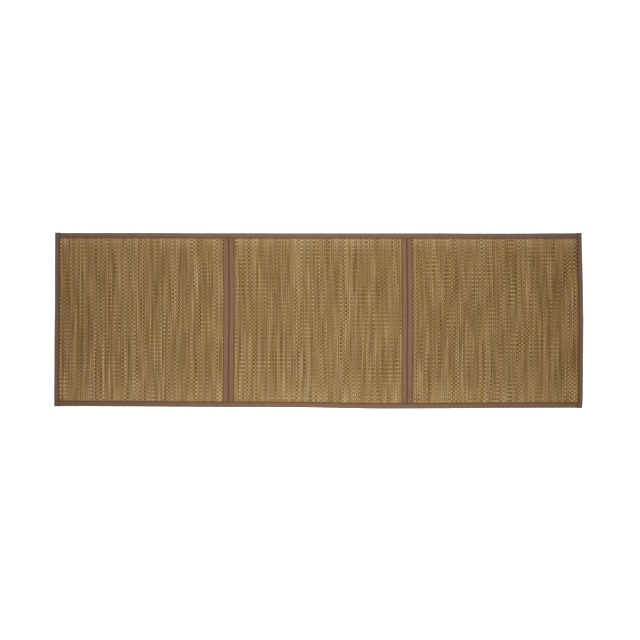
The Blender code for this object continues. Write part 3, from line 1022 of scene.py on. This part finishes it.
def hinge_tape(cloth, hinge, face, material):
    """A flat tape over or under two panels, drawn in along its edges and pinched to a crease at the fold."""
    side = 1 if face == "top" else -1
    end = WIDTH / 2 - END_UNDER_BINDING
    across = np.concatenate([-TAPE_POINTS[:0:-1], TAPE_POINTS])
    y = along_strip(-end, end, cloth.step, table_places(END_INSETS))
    off, along = np.meshgrid(across, y, indexing="ij")
    straight = HINGE_X[hinge] + off
    from_edge = TAPE_WIDTH / 2 - np.abs(off)
    seed = TAPE_SEED + list(HINGE_X).index(hinge) * 2 + (side < 0)
    sunk = slackness(cloth, off, along, seed, *TAPE_SLACK) * smooth(np.abs(off) / FOLD_REACH)
    height = tape_height(straight, along) - edge_drop(cloth, from_edge, TAPE_STITCH_FROM_EDGE) - sunk
    wander = crease_x(cloth, hinge, along) - HINGE_X[hinge]
    wander = wander * (1 - smooth(np.abs(off) / WANDER_REACH))
    points = lie_uneven(straight + wander, along, side * height)
    uv = np.stack([from_edge, along], axis=-1)
    clean = {"worn": 0 * off, "dirt_and_shade": 0 * off}
    name = f"hinge_tape_{hinge}_{face}_cloth"
    return add_strip(name, points, side < 0, material, uv, clean)


# Sewing

# Half a stitch's length as a share of the pitch, how high it arches over its two ends, and how deep those lie
# in the cloth
STITCH_HALF = 0.36
STITCH_ARCH = 0.3 * MM
STITCH_ENDS = 0.15 * MM
# How deep a binding's seams lie above and beneath, and a tape's along its edges
SUNK = {1: 0.35 * MM, -1: 0.55 * MM}
TAPE_SUNK = 0.35 * MM
# How far a long seam stops short of the end bindings, and an end seam of the mat's corners
LONG_SEAM_SHORT = 2 * MM
END_SEAM_SHORT = 3 * MM
# How far a tape's seams run on beneath the long bindings
TAPE_SEAM_UNDER = 2 * MM


def stitch_shape():
    """A stitch of unit length, width and height: two four-sided rings, and a point at either end.

    Points are (along, sideways, up) and the faces are triangles.
    """
    along = np.repeat([-0.5, 0.5], 4)
    rings = np.stack([along, np.tile(np.sin(TURNS), 2), np.tile(np.cos(TURNS), 2)], axis=-1)
    points = np.concatenate([[[-1, 0, 0]], rings, [[1, 0, 0]]])
    first, second = 1 + SIDES, 5 + SIDES
    after_first, after_second = 1 + NEXT_SIDES, 5 + NEXT_SIDES
    faces = [
        np.stack([np.zeros(4, int), first, after_first], axis=-1),
        np.stack([first, after_second, after_first], axis=-1),
        np.stack([first, second, after_second], axis=-1),
        np.stack([second, np.full(4, 9), after_second], axis=-1),
    ]
    return points, np.concatenate(faces)


def sewn_line(cloth, places, surface):
    """Stitches set end to end along a line: (points, faces).

    surface(places) gives the line's points on the straight mat as (x, y, height). Each stitch lies along the
    line at its middle, arched out of the cloth, with its two ends sunk in it.
    """
    shape, faces = stitch_shape()
    half = cloth.stitch * STITCH_HALF
    x, y, height = surface(places)
    ahead = np.stack(surface(places + half), axis=-1) - np.stack(surface(places - half), axis=-1)
    ahead = ahead / np.linalg.norm(ahead, axis=-1, keepdims=True)
    outwards = np.sign(height)[:, None] * np.array([0.0, 0.0, 1.0])
    sideways = np.cross(outwards, ahead)
    arch = (1 - shape[:, 0] ** 2) * STITCH_ARCH - STITCH_ENDS
    middle = np.stack([x, y, height], axis=-1)
    points = (
        middle[:, None]
        + shape[None, :, :1] * half * ahead[:, None]
        + shape[None, :, 1:2] * cloth.thread * sideways[:, None]
        + (shape[:, 2] * cloth.thread + arch)[None, :, None] * outwards[:, None]
    )
    numbers = faces[None] + np.arange(len(places))[:, None, None] * len(shape)
    return points.reshape(-1, 3), numbers.reshape(-1, 3)


def add_stitches(name, lines, material):
    """One piece from several lines of stitches, each (points on the straight mat, faces)."""
    starts = np.cumsum([0] + [len(points) for points, _ in lines[:-1]])
    faces = np.concatenate([faces + start for (_, faces), start in zip(lines, starts)])
    points = np.concatenate([points for points, _ in lines])
    return add_piece(name, lie_uneven(*points.T), faces, material)


def stitch_places(cloth, end):
    """The middles of the stitches of a seam that runs as far as end to either side of the mat's middle."""
    count = int(2 * end / cloth.stitch)
    return -end + (np.arange(count) + 0.5) * 2 * end / count


def binding_sewing(cloth, material):
    """The seams of the four bindings, 2 mm inside their inner edges, on both faces."""
    lines = []
    long_end = LENGTH / 2 - BINDING_WIDTH["left"] - LONG_SEAM_SHORT
    short_end = WIDTH / 2 - END_SEAM_SHORT
    for face, sunk in SUNK.items():
        for edge, side in (("back", 1), ("front", -1)):
            inset = BINDING_WIDTH[edge] - STITCH_FROM_EDGE

            def on_long(x):
                height = long_binding_height(x, inset, BINDING_WIDTH[edge]) - sunk
                return x, np.full_like(x, side * (WIDTH / 2 - inset)), face * height

            lines.append(sewn_line(cloth, stitch_places(cloth, long_end), on_long))
        for edge, side in (("right", 1), ("left", -1)):
            inset = BINDING_WIDTH[edge] - STITCH_FROM_EDGE

            def on_end(y):
                rise = max(face, 0) * cloth.proud * on_long_binding(y)
                height = THICKNESS / 2 - STITCH_DEPTH - sunk + rise
                return np.full_like(y, side * (LENGTH / 2 - inset)), y, face * height

            lines.append(sewn_line(cloth, stitch_places(cloth, short_end), on_end))
    return add_stitches("binding_sewing", lines, material)


def hinge_sewing(cloth, material):
    """The seams of the hinge tapes: one along each edge and one through the crease, on both faces."""
    lines = []
    end = WIDTH / 2 - BINDING_WIDTH["back"] + TAPE_SEAM_UNDER
    for face in (1, -1):
        for hinge in HINGE_X:
            for side in (-1, 0, 1):
                off = side * (TAPE_WIDTH / 2 - TAPE_STITCH_FROM_EDGE)

                def on_tape(y):
                    straight = np.full_like(y, HINGE_X[hinge] + off)
                    x = straight if side else crease_x(cloth, hinge, y)
                    return x, y, face * (tape_height(straight, y) - abs(side) * TAPE_SUNK)

                lines.append(sewn_line(cloth, stitch_places(cloth, end), on_tape))
    return add_stitches("hinge_sewing", lines, material)


# Operators


class TATAMI_OT_weave(bpy.types.Operator):
    """Weaves both faces of the three rush panels and runs the warp strings between them"""

    bl_idname = "tatami.weave"
    bl_label = "Weave the panels"

    def execute(self, context):
        weave = context.scene.tatami_weave
        rush, cord = woven_rush(weave), warp_string(weave)
        for panel, (low, high) in PANELS.items():
            top = weave_face(weave, f"weave_{panel}_top", panel, 1, 3, rush)
            under = weave_face(weave, f"weave_{panel}_under", panel, -1, 1, rush)
            strings = warp_strings(weave, f"warp_{panel}", panel, cord)
            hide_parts(f"panel_{panel}")
            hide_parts(f"panel_{panel}")
        return {"FINISHED"}


class TATAMI_OT_bindings(bpy.types.Operator):
    """Folds a strip of cloth round each edge of the mat, the end strips over the ends of the long ones"""

    bl_idname = "tatami.bindings"
    bl_label = "Bind the edges"

    def execute(self, context):
        cloth = context.scene.tatami_cloth
        # How far each binding's russet edge, partly painted shade, is turned in, and over how far it fades
        # into the brown
        long_cotton = binding_cloth("long_binding_cotton", cloth, cloth.long_edge, 3.0 * MM, 4.0 * MM)
        end_cotton = binding_cloth("end_binding_cotton", cloth, cloth.end_edge, 4.6 * MM, 1.6 * MM)
        long_run = LENGTH - 2 * END_UNDER_BINDING
        for edge, make, material, panels, length in (
            ("back", long_binding, long_cotton, PANELS, long_run),
            ("front", long_binding, long_cotton, PANELS, long_run),
            ("left", end_binding, end_cotton, ["left"], WIDTH + sum(END_OVERHANG["left"])),
            ("right", end_binding, end_cotton, ["right"], WIDTH + sum(END_OVERHANG["right"])),
        ):
            piece = make(cloth, edge, material)
            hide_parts(f"binding_{edge}")
        return {"FINISHED"}


class TATAMI_OT_hinges(bpy.types.Operator):
    """Lays a tape above and a tape beneath each pair of panels, pinched together along the fold line"""

    bl_idname = "tatami.hinges"
    bl_label = "Hinge the panels"

    def execute(self, context):
        cloth = context.scene.tatami_cloth
        material = hinge_cloth(cloth)
        for hinge in HINGE_X:
            for face in ("top", "under"):
                piece = hinge_tape(cloth, hinge, face, material)
                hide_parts(f"hinge_tape_{hinge}_{face}")
        return {"FINISHED"}


class TATAMI_OT_sewing(bpy.types.Operator):
    """Sews the bindings and the hinge tapes with brown thread"""

    bl_idname = "tatami.sewing"
    bl_label = "Sew the cloth"

    def execute(self, context):
        cloth = context.scene.tatami_cloth
        material = sewing_thread(cloth)
        binding_sewing(cloth, material)
        hinge_sewing(cloth, material)
        return {"FINISHED"}


class TATAMI_OT_stage(bpy.types.Operator):
    """Sets the white table, the soft overhead light and the camera straight above the mat"""

    bl_idname = "tatami.stage"
    bl_label = "Set the stage"

    def execute(self, context):
        stage = context.scene.tatami_stage
        scene = context.scene
        scene.view_settings.view_transform = "Standard"

        material, _, shader = new_material("white_table")
        shader.inputs["Base Color"].default_value = with_alpha(stage.floor)
        shader.inputs["Roughness"].default_value = 0.9
        shader.inputs["Emission Color"].default_value = with_alpha(stage.floor)
        shader.inputs["Emission Strength"].default_value = stage.glow
        mesh = bpy.data.meshes.new("floor")
        corners = np.array([(-1, -1), (1, -1), (1, 1), (-1, 1)]) * stage.reach
        # It lies a hair under the mat, so that the two never share a plane
        points = np.column_stack([corners, np.full(4, -0.1 * MM)])
        mesh.from_pydata(points.tolist(), [], [(0, 1, 2, 3)])
        mesh.materials.append(material)
        floor = bpy.data.objects.new("floor", mesh)
        scene.collection.objects.link(floor)

        key = bpy.data.lights.new("overhead", "AREA")
        key.energy = stage.key_power
        key.shape = "RECTANGLE"
        key.size = stage.key_size
        # It is half as long again across the mat as along it
        key.size_y = stage.key_size * 1.5
        lamp = bpy.data.objects.new("overhead", key)
        # It hangs a little to the right of the mat's middle and in front of it
        lamp.location = (40 * MM, -50 * MM, stage.key_height)
        lamp.visible_camera = False
        scene.collection.objects.link(lamp)

        world = bpy.data.worlds.new("studio")
        world.use_nodes = True
        background = world.node_tree.nodes["Background"]
        background.inputs["Color"].default_value = (1.0, 1.0, 1.0, 1.0)
        background.inputs["Strength"].default_value = stage.fill
        scene.world = world

        data = bpy.data.cameras.new("camera")
        data.lens = stage.lens
        camera = bpy.data.objects.new("camera", data)
        distance = stage.frame_width * stage.lens / data.sensor_width
        camera.location = (stage.aim_x, stage.aim_y, THICKNESS + distance)
        data.clip_end = 100.0
        scene.collection.objects.link(camera)
        scene.camera = camera
        return {"FINISHED"}


class VIEW3D_PT_tatami(bpy.types.Panel):
    """Steps of making the mat, in order, and their settings"""

    bl_label = "Tatami mat"
    bl_idname = "VIEW3D_PT_tatami"
    bl_space_type = "VIEW_3D"
    bl_region_type = "UI"
    bl_category = "Tatami"

    def draw(self, context):
        """Lists a button for each step, then a box of settings for each group."""
        for operator in OPERATORS:
            self.layout.operator(operator.bl_idname)
        for group in ("tatami_weave", "tatami_cloth", "tatami_stage"):
            settings = getattr(context.scene, group)
            box = self.layout.box()
            for name in settings.bl_rna.properties.keys():
                if name not in ("rna_type", "name"):
                    box.prop(settings, name)


OPERATORS = (TATAMI_OT_weave, TATAMI_OT_bindings, TATAMI_OT_hinges, TATAMI_OT_sewing, TATAMI_OT_stage)
CLASSES = (TatamiWeave, TatamiCloth, TatamiStage, *OPERATORS, VIEW3D_PT_tatami)


def register():
    """Registers the classes and hangs the settings on the scene."""
    for item in CLASSES:
        bpy.utils.register_class(item)
    bpy.types.Scene.tatami_weave = bpy.props.PointerProperty(type=TatamiWeave)
    bpy.types.Scene.tatami_cloth = bpy.props.PointerProperty(type=TatamiCloth)
    bpy.types.Scene.tatami_stage = bpy.props.PointerProperty(type=TatamiStage)


def unregister():
    """Takes the settings off the scene and removes the classes."""
    del bpy.types.Scene.tatami_weave, bpy.types.Scene.tatami_cloth, bpy.types.Scene.tatami_stage
    for item in reversed(CLASSES):
        bpy.utils.unregister_class(item)


def main():
    """Makes the mat and its stage step by step."""
    register()
    bpy.ops.tatami.weave()
    bpy.ops.tatami.bindings()
    bpy.ops.tatami.hinges()
    bpy.ops.tatami.sewing()
    bpy.ops.tatami.stage()


if __name__ == "__main__":
    main()
